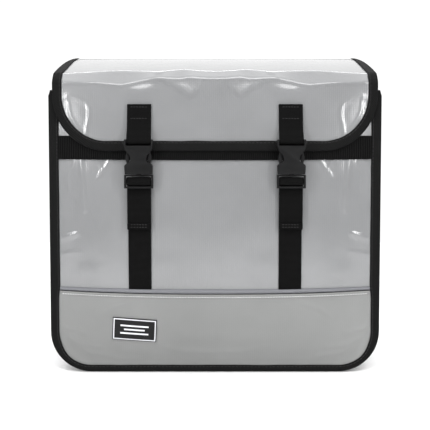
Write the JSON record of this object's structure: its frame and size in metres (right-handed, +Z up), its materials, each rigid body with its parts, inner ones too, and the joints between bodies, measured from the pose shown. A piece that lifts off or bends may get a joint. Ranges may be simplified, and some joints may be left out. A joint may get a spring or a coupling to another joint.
{
  "type": "pannier bag",
  "caption": "Single bicycle pannier: box-shaped tarpaulin bag with a fold-over lid closed by side-release buckles, and spring-latched hooks on a rear rail for a rack.",
  "frame": {"origin": "on the ground, at the bottom centre of the bounding box", "axes": "+X to the right as the front is faced, -Y out of the front, +Y towards the bicycle, +Z up"},
  "size_m": [0.355, 0.2232, 0.3558],
  "materials": {
    "tarpaulin": "light grey PVC-coated tarpaulin, satin gloss, fine ribbed grain",
    "tarpaulin_matte": "the same grey tarpaulin in a slightly more matt, warmer cut",
    "binding_tape": "black woven polyester edge tape, folded and stitched",
    "webbing": "black ribbed polyester webbing, 25 mm",
    "buckle_plastic": "black moulded acetal, fine satin texture",
    "seam_piping": "blue-grey reflective piping",
    "label_rubber": "plain dark moulded rubber patch",
    "board_plastic": "dark polypropylene stiffener board",
    "fastener_steel": "zinc-plated steel",
    "rail_aluminium": "dark anodised aluminium extrusion",
    "hook_plastic": "black glass-filled nylon"
  },
  "bodies": {
    "bag": {"back_binding": "binding_tape", "back_board": "board_plastic", "back_panel": "tarpaulin", "base_board": "board_plastic", "carry_handle": "webbing", "front_binding": "binding_tape", "front_panel_lower": "tarpaulin_matte", "front_panel_upper": "tarpaulin", "front_rim_binding": "binding_tape", "gusset": "tarpaulin", "handle_tab_left": "binding_tape", "handle_tab_right": "binding_tape", "hook_left": "hook_plastic", "hook_rail": "rail_aluminium", "hook_right": "hook_plastic", "hook_screw_left": "fastener_steel", "hook_screw_right": "fastener_steel", "label_patch": "label_rubber", "latch_pin_left": "fastener_steel", "latch_pin_right": "fastener_steel", "left_rim_binding": "binding_tape", "lower_rail": "hook_plastic", "lower_rivet_1": "fastener_steel", "lower_rivet_2": "fastener_steel", "lower_strap_left": "webbing", "lower_strap_right": "webbing", "rail_rivet_1": "fastener_steel", "rail_rivet_2": "fastener_steel", "rail_rivet_3": "fastener_steel", "rail_rivet_4": "fastener_steel", "right_rim_binding": "binding_tape", "seam_piping": "seam_piping", "webbing_band": "webbing"},
    "lid": {"lid": "tarpaulin", "lid_binding": "binding_tape", "upper_strap_left": "webbing", "upper_strap_right": "webbing", "buckle_female_left": "buckle_plastic", "buckle_female_right": "buckle_plastic"},
    "male_left": {"buckle_male_left": "buckle_plastic", "strap_tail_left": "webbing"},
    "prong_left_a": {"buckle_prong_left_a": "buckle_plastic"},
    "prong_left_b": {"buckle_prong_left_b": "buckle_plastic"},
    "latch_left": {"hook_latch_left": "hook_plastic"},
    "male_right": {"buckle_male_right": "buckle_plastic", "strap_tail_right": "webbing"},
    "prong_right_a": {"buckle_prong_right_a": "buckle_plastic"},
    "prong_right_b": {"buckle_prong_right_b": "buckle_plastic"},
    "latch_right": {"hook_latch_right": "hook_plastic"},
    "slider": {"lower_slider": "hook_plastic", "lower_hook_screw": "fastener_steel"},
    "lower_hook": {"lower_hook": "hook_plastic"}
  },
  "joints": [
    {"name": "lid_hinge", "type": "hinge", "parent": "bag", "child": "lid", "pos_m": [0, 0.0807, 0.354], "axis": [-1, 0, 0], "range_deg": [0, 180]},
    {"name": "buckle_release_left", "type": "slide", "parent": "bag", "child": "male_left", "axis": [0, 0, -1], "range_m": [0, 0.026], "deforming": ["lower_strap_left"]},
    {"name": "prong_squeeze_left_a", "type": "hinge", "parent": "male_left", "child": "prong_left_a", "pos_m": [-0.09, -0.1074, 0.2148], "axis": [0, 1, 0], "range_deg": [0, 8], "stiffness_Nm_per_rad": 0.3},
    {"name": "prong_squeeze_left_b", "type": "hinge", "parent": "male_left", "child": "prong_left_b", "pos_m": [-0.068, -0.1074, 0.2148], "axis": [0, -1, 0], "range_deg": [0, 8], "stiffness_Nm_per_rad": 0.3},
    {"name": "hook_latch_left", "type": "hinge", "parent": "bag", "child": "latch_left", "pos_m": [-0.085, 0.095, 0.309], "axis": [-1, 0, 0], "range_deg": [0, 60], "stiffness_Nm_per_rad": 0.05, "springref_deg": -11.46},
    {"name": "buckle_release_right", "type": "slide", "parent": "bag", "child": "male_right", "axis": [0, 0, -1], "range_m": [0, 0.026], "deforming": ["lower_strap_right"]},
    {"name": "prong_squeeze_right_a", "type": "hinge", "parent": "male_right", "child": "prong_right_a", "pos_m": [0.068, -0.1074, 0.2148], "axis": [0, 1, 0], "range_deg": [0, 8], "stiffness_Nm_per_rad": 0.3},
    {"name": "prong_squeeze_right_b", "type": "hinge", "parent": "male_right", "child": "prong_right_b", "pos_m": [0.09, -0.1074, 0.2148], "axis": [0, -1, 0], "range_deg": [0, 8], "stiffness_Nm_per_rad": 0.3},
    {"name": "hook_latch_right", "type": "hinge", "parent": "bag", "child": "latch_right", "pos_m": [0.085, 0.095, 0.309], "axis": [-1, 0, 0], "range_deg": [0, 60], "stiffness_Nm_per_rad": 0.05, "springref_deg": -11.46},
    {"name": "lower_hook_slide", "type": "slide", "parent": "bag", "child": "slider", "axis": [1, 0, 0], "range_m": [-0.04, 0.04]},
    {"name": "lower_hook_swivel", "type": "hinge", "parent": "slider", "child": "lower_hook", "pos_m": [0, 0.0933, 0.095], "axis": [0, 1, 0], "range_deg": [-90, 90]}
  ],
  "couplings": [
    {"joint": "prong_squeeze_left_b", "follows": "prong_squeeze_left_a", "ratio": 1},
    {"joint": "prong_squeeze_right_b", "follows": "prong_squeeze_right_a", "ratio": 1}
  ]
}
